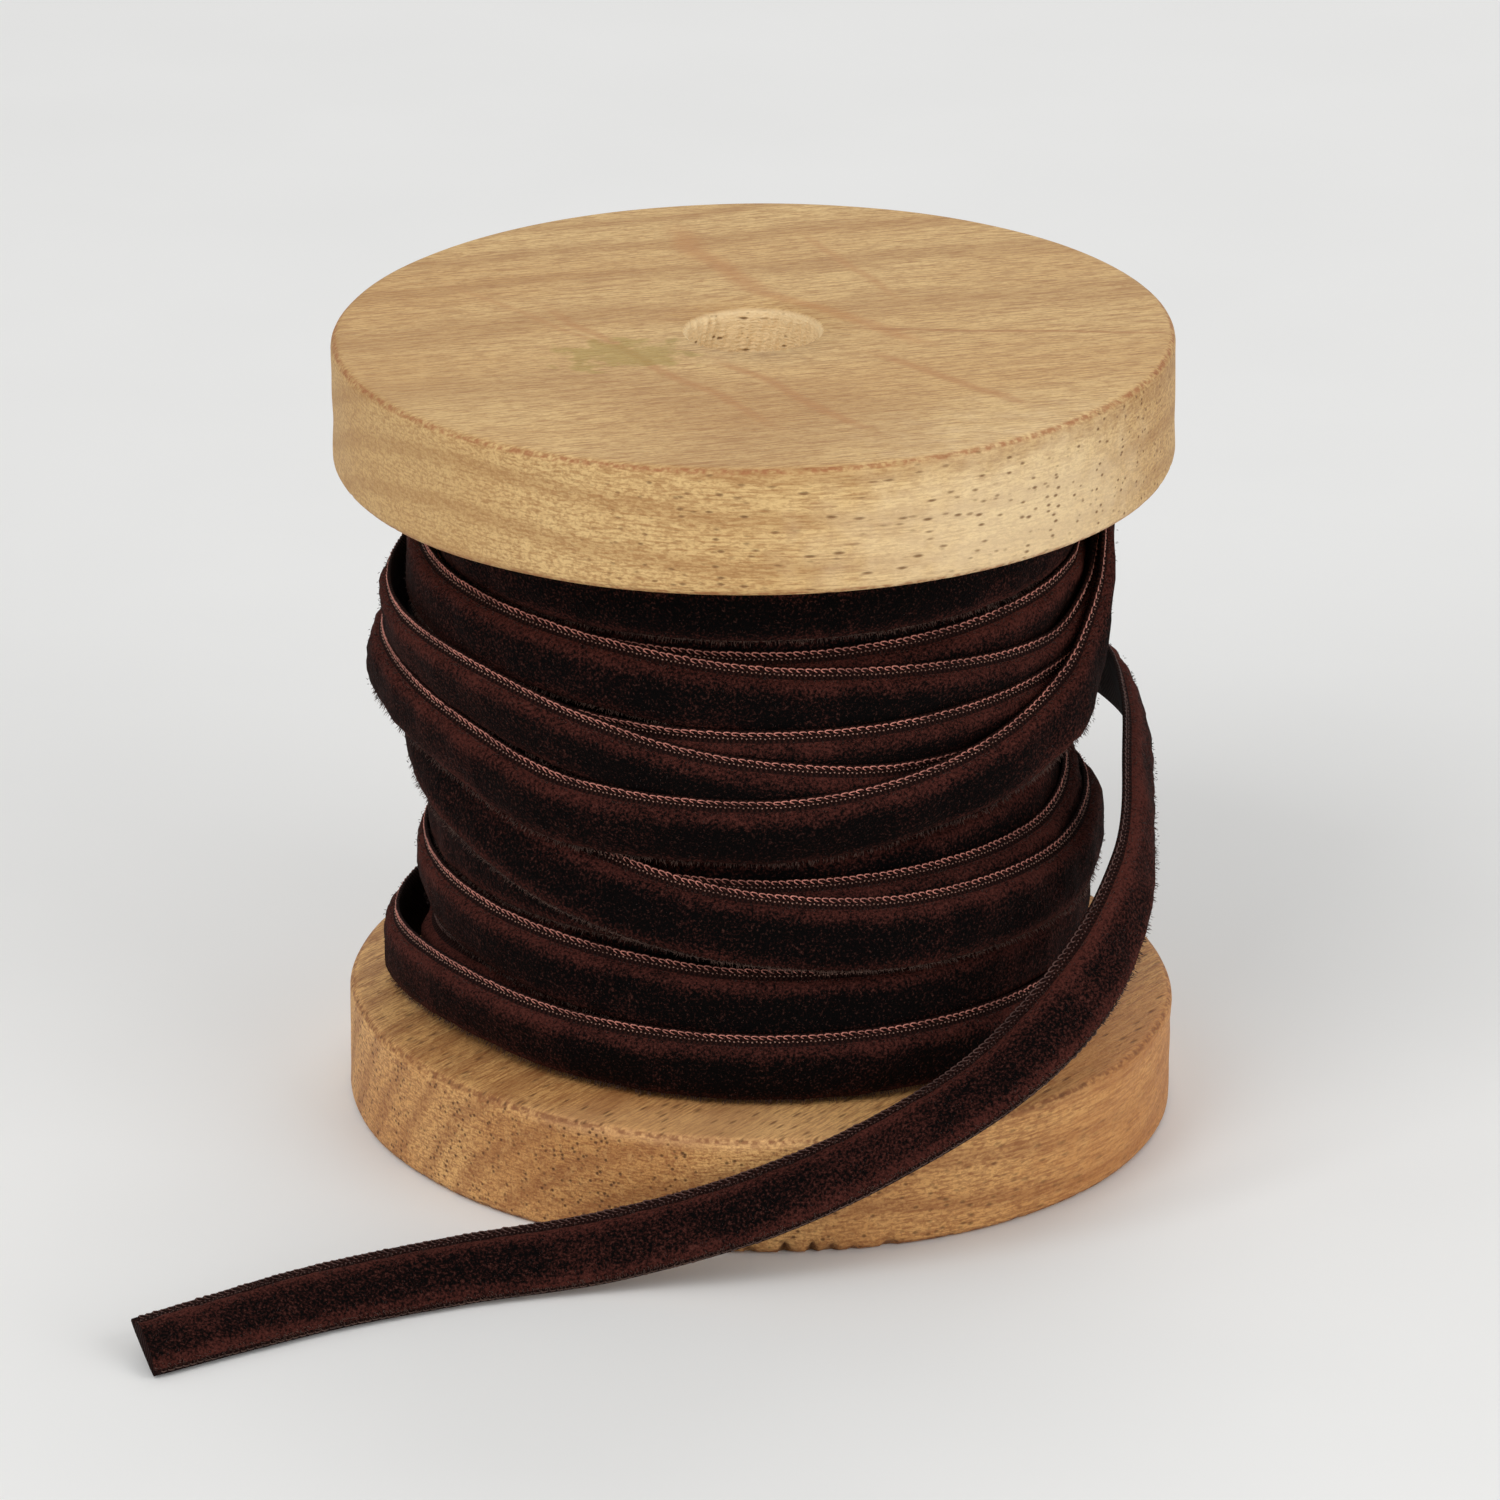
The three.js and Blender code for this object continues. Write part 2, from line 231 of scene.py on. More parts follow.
def bare_wood(name, grain_turn, tones, corner_tone, pore_tone, pores, streaks=(), stains_and_light=()):
    """Beech cut along its grain: fine fibres, long thin pores that are dots in the end grain,
    faint growth rings, and corners browned by rubbing. The tones go from pale to dark."""
    finish, shader, start, where = blank_finish(name)

    def turned_back(place, degrees):
        settings = {"rotation_type": "Z_AXIS"}
        return start.node("VectorRotate", settings, {"Vector": place, "Angle": -math.radians(degrees)})

    along = turned_back(where, grain_turn)

    def stretched(lengthwise, crosswise, seed=0, upright=None):
        """A place in a pattern that is this many millimetres long, wide and high."""
        scale = (1 / lengthwise, 1 / crosswise, 1 / (upright or crosswise))
        scaled = start.node("VectorMath", {"operation": "MULTIPLY"}, {0: along, 1: scale})
        return start.node("VectorMath", {"operation": "ADD"}, {0: scaled, 1: (seed, seed, seed)})

    def noise(place, detail=2, scale=1):
        return start.node("TexNoise", {}, {"Vector": place, "Scale": scale, "Detail": detail})

    cloud = noise(stretched(60, 22, 3), 3)
    facing = start.node("NewGeometry", out="Normal")
    upward = start.node("SeparateXYZ", {}, {0: facing}, out="Z")
    rightward = start.node("SeparateXYZ", {}, {0: facing}, out="X")
    on_face = abs(upward).between(0.4, 0.9)
    rim_fibres = noise(stretched(5, 1.1, upright=0.28), 3)
    fibres = noise(stretched(4.5, 0.3), 3) * on_face + rim_fibres * (1 - on_face)
    strands = noise(stretched(22, 1.1, 7))
    crumb = noise(stretched(0.7, 0.3, 5))
    flecks = noise(stretched(2.4, 0.4, 9))
    rings = start.node(
        "TexWave", {"wave_type": "RINGS", "rings_direction": "X"},
        {"Vector": stretched(1, 1, 37), "Scale": 0.055, "Distortion": 5.0, "Detail": 2.0,
         "Detail Scale": 0.35}, out="Fac")
    cells = {"Vector": stretched(3.6, 0.85, 11), "Scale": 1.0, "Randomness": 1.0}
    pore = start.node("TexVoronoi", {}, cells, out="Distance")
    draw = start.node("TexVoronoi", {}, cells, out="Color")
    chosen = start.node("SeparateColor", {}, {0: draw})
    open_pore = (1 - pore.between(0.08, pores["width"])) * chosen.between(0.2, 0.55)
    open_pore = open_pore * (1 - on_face * (1 - pores["on_top"]))
    open_pore = open_pore * rightward.between(pores["none_at"], pores["all_at"])

    pale, middle, dark = tones
    colour = cloud.between(0.3, 0.72).tint(pale, middle)
    colour = (rings.between(0.45, 1.0) * 0.38).tint(colour, dark)
    colour = (fibres.between(0.42, 0.66) * 0.6).tint(colour, dark)
    colour = (strands.between(0.5, 0.72) * 0.35).tint(colour, pale)
    colour = (crumb.between(0.48, 0.66) * 0.35).tint(colour, dark)
    colour = (flecks.between(0.5, 0.62) * 0.42).tint(colour, dark)
    for streak in streaks:
        offset = start.node("VectorMath", {"operation": "SUBTRACT"}, {0: where, 1: (*streak["at"], 0)})
        lying = turned_back(offset, streak["turn"])
        bend = (noise(where, scale=0.05) - 0.5) * (streak["half_width"] * 3)
        reach = start.node("SeparateXYZ", {}, {0: lying}, out="X")
        aside = start.node("SeparateXYZ", {}, {0: lying}, out="Y") + bend
        inside = 1 - (abs(aside) / streak["half_width"]).between(0.1, 1.0)
        inside = inside * (1 - (abs(reach) / streak["half_length"]).between(0.5, 1.0))
        top_only = upward.between(0.6, 0.9)
        colour = (inside * top_only * streak["strength"]).tint(colour, streak["tone"])
    # Patches laid on the wood's colour: real stains, and also painted highlights and painted shade.
    for tone_patch in stains_and_light:
        offset = start.node("VectorMath", {"operation": "SUBTRACT"}, {0: where, 1: tone_patch["centre"]})
        scaled = start.node("VectorMath", {"operation": "DIVIDE"}, {0: offset, 1: tone_patch["size"]})
        far = start.node("VectorMath", {"operation": "LENGTH"}, {0: scaled}, out="Value")
        patchy = far + (noise(where, 4, 0.35) - 0.5) * tone_patch["ragged"]
        covered = 1 - patchy.between(0.2 + 0.15 * tone_patch["ragged"], 1.0)
        colour = (covered * tone_patch["strength"]).tint(colour, tone_patch["tone"])
    corner = start.node("Attribute", {"attribute_name": "corner"}, out="Fac")
    worn = corner.between(0.78, 1.0) * noise(where, 4, 1.2).between(0.36, 0.62)
    colour = (worn * 0.75).tint(colour, corner_tone)
    bored = start.node("Attribute", {"attribute_name": "bored"}, out="Fac")
    colour = (bored * 0.8).tint(colour, FRESHLY_BORED)
    colour = (open_pore * 0.85).tint(colour, pore_tone)
    chip = start.node("Attribute", {"attribute_name": "chip"}, out="Fac")
    colour = (chip * 0.8).tint(colour, pore_tone)

    height = fibres * 0.6 + strands * 0.3 - open_pore * 0.8 + crumb
    grain = start.node("Bump", {}, {"Strength": 0.8, "Distance": 0.2 * MM, "Height": height},
                       out="Normal")
    connect(start, shader, Base_Color=colour, Roughness=0.72 - fibres * 0.16 + open_pore * 0.1,
            Normal=grain)
    shader.inputs["Specular IOR Level"].default_value = 0.35
    return finish


# A real darker stain on the rim at the right, and a pale patch of painted light on the front of the top
# face, where the front lamp falls.
LOWER_STAINS_AND_LIGHT = [
    {"centre": (50, -20, 8), "size": (26, 30, 26), "tone": (0.55, 0.22, 0.06, 1), "strength": 0.4,
     "ragged": 1.2},
    {"centre": (-14, -50, 15.5), "size": (60, 12, 2.5), "tone": (1.0, 0.62, 0.3, 1), "strength": 0.25,
     "ragged": 0.5},
]
# Open pores: their width, how strongly they show on the flat faces, and where they start and are all
# there as the rim turns from the left, at -1, to the right, at 1. Here they thin out at the right.
LOWER_PORES = {"none_at": 1.6, "all_at": -0.2, "on_top": 0.75, "width": 0.36}
lower_wood = bare_wood(
    "bare beech, orange", 55,
    tones=((0.8, 0.46, 0.17, 1), (0.62, 0.3, 0.095, 1), (0.27, 0.085, 0.022, 1)),
    corner_tone=(0.2, 0.06, 0.016, 1), pore_tone=(0.085, 0.03, 0.008, 1), pores=LOWER_PORES,
    stains_and_light=LOWER_STAINS_AND_LIGHT)

# Small chips all round the lower corner, and deeper ones at the front.
CHIPPED_AT = math.radians(277)
CHIPPED_REACH = 0.24
CHIP_LEVEL = 0.9
disc_angle = np.linspace(0, 2 * math.pi, DISC_COLUMNS, endpoint=False)
lower_radius, lower_height, lower_corner = all_round(disc_outline(LOWER_THICKNESS, 0), DISC_COLUMNS)
chip_side = np.exp(-((disc_angle - CHIPPED_AT) / CHIPPED_REACH) ** 2)
chipped = ripple(disc_angle, 0, seed=5, waves=14, finest=190) - CHIP_LEVEL + chip_side * CHIP_LEVEL
chipped = np.clip(chipped, 0, None) * (0.18 + 0.62 * chip_side)
low_corner = lower_corner * (lower_height < LOWER_THICKNESS / 2)
lower_rim = lower_radius > DISC_RADIUS - RIM_DEPTH
uneven = RIM_UNEVENNESS * ripple(disc_angle, lower_height, seed=2, waves=8, finest=20)
lower_radius = lower_radius + uneven * lower_rim
lower_radius = lower_radius - low_corner * chipped
lower_height = lower_height + low_corner * chipped * (lower_height > 0.02)
chip_mark = np.clip(low_corner * chipped * 1.6, 0, 1)
lower_disc = turned("lower_disc", lower_radius, lower_height, lower_wood,
                    {"corner": lower_corner, "chip": chip_mark})
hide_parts("flange_bottom")

# Barrel: the middle of the spool, turned from the same wood and bored along its length. It is glued
# between the discs, a little out of true, so it and the upper disc lean to the left together.
BARREL_RADIUS = 20
BORE_RADIUS = 8.4
GLUE_GAP = 0.3
SPOOL_LEAN = math.radians(1.28)
UPPER_THICKNESS = 16.2
SPOOL_HEIGHT = 102.3
UPPER_UNDERSIDE = SPOOL_HEIGHT - UPPER_THICKNESS
BARREL_BORE_ROUGHNESS = 0.12
BARREL_COLUMNS = 96

barrel_angle = np.linspace(0, 2 * math.pi, BARREL_COLUMNS, endpoint=False)
barrel_rows = [(BARREL_RADIUS, z) for z in np.linspace(0, 1, 8)]
barrel_rows += [(BORE_RADIUS, z) for z in np.linspace(1, 0, 40)]
barrel_radius, barrel_share = all_round(barrel_rows, BARREL_COLUMNS)
barrel_bottom = LOWER_THICKNESS + GLUE_GAP
barrel_top = UPPER_UNDERSIDE - GLUE_GAP

# The barrel's foot is cut level, so that it stands flat while it leans.
level_cut = barrel_bottom - barrel_radius * np.cos(barrel_angle) * math.sin(SPOOL_LEAN)
level_cut = level_cut / math.cos(SPOOL_LEAN)
barrel_height = level_cut + (barrel_top - level_cut) * barrel_share
bore_wall = barrel_radius < BARREL_RADIUS - 1
barrel_radius = barrel_radius + bore_wall * BARREL_BORE_ROUGHNESS * ripple(
    barrel_angle, barrel_height * 2, seed=8, waves=12, finest=40)
barrel = turned("barrel", barrel_radius, barrel_height, lower_wood,
                {"corner": np.zeros(barrel_radius.shape), "bored": bore_wall}, SPOOL_LEAN, closed=True)
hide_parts("core")

# Upper disc: a paler beech disc, turned like the lower one, bored through for a peg and glued on top
# of the barrel. Its grain runs from left to right, reddish rays cross its face, and it has an olive
# mark left of the bore.
REDDISH = (0.5, 0.235, 0.08, 1)
RUSSET = (0.46, 0.21, 0.07, 1)
TAWNY = (0.5, 0.25, 0.09, 1)
UPPER_STREAKS = [
    {"at": (-7, 28), "turn": -70, "half_width": 2.6, "half_length": 18, "tone": REDDISH, "strength": 0.6},
    {"at": (8, 5), "turn": -42, "half_width": 2.2, "half_length": 20, "tone": REDDISH, "strength": 0.55},
    {"at": (30, -1), "turn": -3, "half_width": 0.7, "half_length": 26, "tone": (0.38, 0.16, 0.05, 1),
     "strength": 0.6},
    {"at": (-14, -14), "turn": -57, "half_width": 1.3, "half_length": 34, "tone": RUSSET, "strength": 0.55},
    {"at": (3, -25), "turn": -56, "half_width": 1.5, "half_length": 20, "tone": RUSSET, "strength": 0.6},
    {"at": (22, -19), "turn": -47, "half_width": 1.4, "half_length": 17, "tone": RUSSET, "strength": 0.6},
    {"at": (10, 25), "turn": -65, "half_width": 1.1, "half_length": 18, "tone": TAWNY, "strength": 0.5},
    {"at": (-30, 5), "turn": -50, "half_width": 1.0, "half_length": 22, "tone": TAWNY, "strength": 0.4},
]
# The olive mark, a real stain; a painted highlight on the rim at the right; and painted shade, browner, on
# the rim at the left.
UPPER_STAINS_AND_LIGHT = [
    {"centre": (-18, -9.5, 102), "size": (8.5, 6.5, 30), "tone": (0.36, 0.25, 0.05, 1), "strength": 0.6,
     "ragged": 2.4},
    {"centre": (40, -46, 92), "size": (46, 34, 16), "tone": (1.0, 0.8, 0.5, 1), "strength": 0.5,
     "ragged": 0.5},
    {"centre": (-48, -30, 92), "size": (24, 40, 26), "tone": (0.5, 0.29, 0.11, 1), "strength": 0.3,
     "ragged": 0.5},
]
UPPER_PORES = {"none_at": -0.7, "all_at": 0, "on_top": 0.2, "width": 0.3}
UPPER_BORE_ROUGHNESS = 0.16
upper_wood = bare_wood(
    "bare beech, pale", 14,
    tones=((0.76, 0.52, 0.23, 1), (0.66, 0.41, 0.165, 1), (0.36, 0.165, 0.05, 1)),
    corner_tone=(0.36, 0.12, 0.04, 1), pore_tone=(0.2, 0.09, 0.028, 1), pores=UPPER_PORES,
    streaks=UPPER_STREAKS, stains_and_light=UPPER_STAINS_AND_LIGHT)
upper_outline = disc_outline(UPPER_THICKNESS, BORE_RADIUS)
upper_radius, upper_height, upper_corner = all_round(upper_outline, DISC_COLUMNS)
upper_low = upper_corner * (upper_height < UPPER_THICKNESS / 2)
upper_wall = upper_radius < BORE_RADIUS + 0.1
upper_rim = upper_radius > DISC_RADIUS - RIM_DEPTH
uneven = RIM_UNEVENNESS * ripple(disc_angle, upper_height, seed=12, waves=8, finest=20)
nicks = np.clip(ripple(disc_angle, 0, seed=15, waves=14, finest=170) - CHIP_LEVEL, 0, 1)
upper_radius = upper_radius + uneven * upper_rim
upper_radius = upper_radius - upper_low * nicks * 0.22
upper_radius = upper_radius + upper_wall * UPPER_BORE_ROUGHNESS * ripple(
    disc_angle, upper_height * 3, seed=18, waves=14, finest=60)
upper_disc = turned("upper_disc", upper_radius, upper_height + UPPER_UNDERSIDE, upper_wood,
                    {"corner": upper_corner, "bored": upper_wall}, SPOOL_LEAN, closed=True)
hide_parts("flange_top")

# Velvet ribbon: a ten millimetre woven tape with a cut pile on its outer face and a corded edge on
# each side. It is woven in one length, so one function lays it along any path.
RIBBON_WIDTH = 10
PILE_HEIGHT = 2.2
WEAVE_THICKNESS = 0.6

# How far the pile's height varies, in broad patches and in small ones, and how far it splays aside.
BROAD_CRUSH = 0.16
FINE_CRUSH = 0.07
SPLAY = 0.12

# Across the width in millimetres from the middle, plus toward the upper edge, and the rise there.
PILE_OUTLINE = [
    (4.7, 0.15), (4.72, 0.5), (4.1, 0.62), (3.5, 0.66), (3.3, 0.95), (3.12, 1.35), (2.85, 1.72),
    (2.4, 2.0), (1.7, 2.14), (0.8, 2.2), (-0.2, 2.2), (-1.2, 2.18), (-2.1, 2.1), (-2.9, 1.96),
    (-3.6, 1.72), (-4.1, 1.4), (-4.4, 1.0), (-4.5, 0.6), (-4.6, 0.15),
]
BACK_OUTLINE = [(-3.0, 0), (0, 0), (3.0, 0)]
# The pile runs from this point of its outline to this one; the rest is bare weave.
PILE_FROM, PILE_TO = 4, 16


def unit(vectors):
    return vectors / np.linalg.norm(vectors, axis=-1, keepdims=True)


def waver(along, aside, seed, scale):
    """A smooth uneven number, about -1 to 1, over the ribbon's surface; scale is its wavelength."""
    draw = np.random.default_rng(seed)
    total = np.zeros(np.broadcast(along, aside).shape)
    for _ in range(10):
        turn = draw.uniform(0, 6.28)
        pace = 6.28 / (scale * draw.uniform(0.6, 1.8))
        wave = along * math.cos(turn) + aside * math.sin(turn)
        total = total + np.sin(pace * wave + draw.uniform(0, 6.28))
    return total / math.sqrt(10)


def placed(path, lengths, across, rise):
    """Points on the ribbon at these lengths along it, across it and above its underside."""
    at = [np.interp(lengths, path["length"], path[key][:, axis])
          for key in ("middle", "across", "outward") for axis in range(3)]
    middle, width, out = (np.stack(at[i:i + 3], -1) for i in (0, 3, 6))
    return middle + width * np.asarray(across)[..., None] + out * np.asarray(rise)[..., None]


def ribbon_path(middle, across):
    """A path of the ribbon from the middle of its underside and a vector across it per millimetre."""
    onward = unit(np.gradient(middle, axis=0))
    outward = unit(np.cross(across, onward))
    length = np.concatenate([[0], np.cumsum(np.linalg.norm(np.diff(middle, axis=0), axis=1))])
    return {"middle": middle, "across": across, "outward": outward, "length": length}


def ribbon_tape(name, path, finishes, seed):
    """The woven tape with its pile: one closed mesh, pile and weave each with its own finish."""
    outline = np.array(PILE_OUTLINE + BACK_OUTLINE)
    length = path["length"][:, None]
    aside, rise = outline[:, 0][None, :], outline[:, 1][None, :]
    pile = np.clip((rise - WEAVE_THICKNESS) / (PILE_HEIGHT - WEAVE_THICKNESS), 0, 1)
    crush = BROAD_CRUSH * waver(length, aside, seed, scale=9)
    crush = crush + FINE_CRUSH * waver(length, aside, seed + 1, scale=2.2)
    crushed = rise + pile * crush
    splayed = aside + np.sign(aside) * pile * SPLAY * waver(length, aside * 0.2, seed + 2, scale=3.1)
    points = path["middle"][:, None] + path["across"][:, None] * splayed[..., None]
    points = points + path["outward"][:, None] * crushed[..., None]
    steps, ring = crushed.shape
    grid = np.arange(steps * ring).reshape(steps, ring)
    here, there = grid[:-1], grid[1:]
    quads = np.stack([here, np.roll(here, -1, 1), np.roll(there, -1, 1), there], -1)
    faces = quads.reshape(-1, 4).tolist() + [grid[0][::-1].tolist(), grid[-1].tolist()]
    is_pile = np.zeros((steps - 1, ring), int)
    is_pile[:, PILE_FROM:PILE_TO] = 1
    which = np.concatenate([1 - is_pile.ravel(), [1, 1]])
    marks = {"along": np.broadcast_to(length, (steps, ring)), "aside": splayed}
    return solid(name, points.reshape(-1, 3), faces, finishes, marks, which)


def repeated(faces, copies, points_each):
    """The faces of one small form, numbered again for each copy of it."""
    first = np.arange(copies)[:, None] * points_each
    return [numbered for face in faces for numbered in (first + np.array(face)[None, :]).tolist()]


def strewn(name, template, faces, painted_light, path, lengths, across, rise, turn, size, finish):
    """Copies of one small closed form along the ribbon, each turned in the ribbon's face. Painted_light
    says
    how strongly each point is painted lit: painted highlight near 1, painted shade near 0."""
    at = placed(path, lengths, across, rise)
    onward = unit(placed(path, lengths + 0.3, across, rise) - placed(path, lengths - 0.3, across, rise))
    outward = unit(placed(path, lengths, across, np.asarray(rise) + 1.0) - at)
    aside = np.cross(onward, outward)
    turn, size = np.asarray(turn)[..., None], np.asarray(size)[..., None]
    first = onward * np.cos(turn) + aside * np.sin(turn)
    second = aside * np.cos(turn) - onward * np.sin(turn)
    template = np.asarray(template, float)
    points = (at[:, None] + first[:, None] * (template[:, 0] * size)[..., None]
              + second[:, None] * (template[:, 1] * size)[..., None]
              + outward[:, None] * (template[:, 2] * size)[..., None])
    every = repeated(faces, len(at), len(template))
    return solid(name, points.reshape(-1, 3), every, [finish], {"painted_light": np.tile(painted_light, len(at))})


# The corded edge is a chain of thread loops, this far apart and this far from the ribbon's middle.
LINK_PITCH = 0.98
CORD_PLACE = 4.38
LINK_HALF_LENGTH = 0.58
LINK_HALF_WIDTH = 0.25
LINK_DIP = 0.16
LINK_SLANT = 0.3
THREAD_RADIUS = 0.115
THREAD_SIDES = 4


def chain_loop(segments):
    """One oval loop of thread, which dips at its tail so that the next loop lies over it. Its painted light
    is strongest on top of the thread and at the loop's head, as painted highlight, and weakest where it
    dips, as painted shade."""
    points, painted_light = [], []
    for k in range(segments):
        angle = 2 * math.pi * k / segments
        dip = LINK_DIP * (1 - math.cos(angle)) / 2
        for n in range(THREAD_SIDES):
            round_thread = 2 * math.pi * n / THREAD_SIDES
            outward = math.sin(round_thread)
            width = LINK_HALF_WIDTH + THREAD_RADIUS * math.cos(round_thread)
            length = LINK_HALF_LENGTH + THREAD_RADIUS * math.cos(round_thread)
            height = THREAD_RADIUS * outward - dip
            points.append((length * math.cos(angle), width * math.sin(angle), height))
            painted_light.append(max(outward, 0.25) * (1 - 0.5 * (1 - math.cos(angle)) / 2))
    grid = np.arange(segments * THREAD_SIDES).reshape(segments, THREAD_SIDES)
    onward = np.roll(grid, -1, 0)
    quads = np.stack([grid, np.roll(grid, -1, 1), np.roll(onward, -1, 1), onward], -1)
    return points, quads.reshape(-1, 4)[:, ::-1].tolist(), painted_light


def edge_cord(name, path, side, finish, segments=8):
    """The corded selvedge: a chain of slanting loops, each over the tail of the next."""
    lengths = np.arange(path["length"][0] + LINK_PITCH, path["length"][-1] - LINK_PITCH, LINK_PITCH)
    draw = np.random.default_rng(int(side * 10) + 40)
    lengths = lengths + draw.uniform(-0.06, 0.06, len(lengths))
    points, faces, painted_light = chain_loop(segments)
    tilt = side * (LINK_SLANT + draw.uniform(-0.12, 0.12, len(lengths)))
    size = draw.uniform(0.88, 1.1, len(lengths))
    place = side * (CORD_PLACE + draw.uniform(-0.04, 0.04, len(lengths)))
    rise = WEAVE_THICKNESS + draw.uniform(-0.03, 0.03, len(lengths))
    return strewn(name, points, faces, painted_light, path, lengths, place, rise, tilt, size, finish)


# The stitches lie this far apart, just inside the corded edge, and slant by this angle in radians.
STITCH_PITCH = 0.54
STITCH_PLACE = 3.82
STITCH_ZIGZAG = 0.05
STITCH_RISE = 0.68
STITCH_SLANT = 0.5
STITCH_HALF_LENGTH = 0.17
STITCH_HALF_WIDTH = 0.13
STITCH_SIDES = 4


def short_stitch():
    """One stitch: fat in the middle and pointed at both ends, where it dives into the weave."""
    points = [(-STITCH_HALF_LENGTH, 0, 0)]
    for k in range(STITCH_SIDES):
        angle = 2 * math.pi * k / STITCH_SIDES
        points.append((0, STITCH_HALF_WIDTH * math.cos(angle), STITCH_HALF_WIDTH * math.sin(angle)))
    points.append((STITCH_HALF_LENGTH, 0, 0))
    faces = []
    for k in range(STITCH_SIDES):
        beside = (k + 1) % STITCH_SIDES
        faces.append((0, 1 + beside, 1 + k))
        faces.append((1 + k, 1 + beside, len(points) - 1))
    # The stitch's ends, where it dives into the weave, are painted darker as painted shade.
    return points, faces, [0.3] + [1] * STITCH_SIDES + [0.3]


def stitch_row(name, path, side, finish):
    """The row of small stitches where the pile stops beside the corded edge."""
    lengths = np.arange(path["length"][0] + STITCH_PITCH, path["length"][-1] - STITCH_PITCH, STITCH_PITCH)
    points, faces, painted_light = short_stitch()
    zigzag = np.where(np.arange(len(lengths)) % 2, STITCH_ZIGZAG, -STITCH_ZIGZAG)
    place = side * (STITCH_PLACE + zigzag)
    rise = np.full(len(lengths), STITCH_RISE)
    turn = np.full(len(lengths), STITCH_SLANT)
    size = np.ones(len(lengths))
    return strewn(name, points, faces, painted_light, path, lengths, place, rise, turn, size, finish)


# One loose tip of the pile: three points at its foot, in millimetres, and one at its end.
SPIKE = [(-0.05, -0.045, 0), (0.05, -0.045, 0), (0, 0.05, 0), (0, 0, 1)]
SPIKE_FACES = [(0, 2, 1), (0, 1, 3), (1, 2, 3), (2, 0, 3)]


def pile_tips(name, path, finish, edge_density, face_density, seed):
    """Loose tips of the pile: a fringe that overhangs the lower edge, a thinner one toward the upper
    cord and single hairs on the face."""
    draw = np.random.default_rng(seed)
    start, end = path["length"][0], path["length"][-1]
    # All one fibre: the lower fringe is painted lightest and the face hairs darkest, and each foot darker
    # than its tip, as painted light and shade.
    groups = [
        {"per_mm": edge_density, "across": (-4.55, -3.9), "rise": (0.55, 1.45), "lean": (-1.5, -0.45),
         "reach": (0.45, 0.8), "painted_lightness": 1},
        {"per_mm": edge_density * 0.3, "across": (3.05, 3.4), "rise": (0.9, 1.5), "lean": (0.3, 1.1),
         "reach": (0.3, 0.5), "painted_lightness": 0.6},
        {"per_mm": face_density, "across": (-3.8, 3.0), "rise": (2.0, 2.12), "lean": (-0.8, 0.7),
         "reach": (0.2, 0.42), "painted_lightness": 0.1},
    ]
    base, tip, painted_light = [], [], []
    for group in groups:
        count = int(group["per_mm"] * (end - start))
        lengths = draw.uniform(start, end, count)
        place = draw.uniform(*group["across"], count)
        height = draw.uniform(*group["rise"], count)
        slant = draw.uniform(*group["lean"], count)
        reach = draw.uniform(*group["reach"], count)
        swing = draw.uniform(-0.4, 0.4, count)
        at = placed(path, lengths, place, height)
        aim = placed(path, lengths + swing, place + slant, height + 0.75) - at
        base.append(at)
        tip.append(unit(aim) * reach[:, None])
        foot = 0.3 * group["painted_lightness"]
        painted_light.append(np.tile([foot, foot, foot, group["painted_lightness"]], count))
    base, tip = np.vstack(base), np.vstack(tip)
    sideways = unit(np.cross(tip, draw.normal(size=tip.shape)))
    other = unit(np.cross(tip, sideways))
    form = np.array(SPIKE)
    points = (base[:, None] + sideways[:, None] * form[None, :, 0:1] + other[:, None] * form[None, :, 1:2]
              + tip[:, None] * form[None, :, 2:3])
    every = repeated(SPIKE_FACES, len(base), len(SPIKE))
    return solid(name, points.reshape(-1, 3), every, [finish], {"painted_light": np.concatenate(painted_light)})


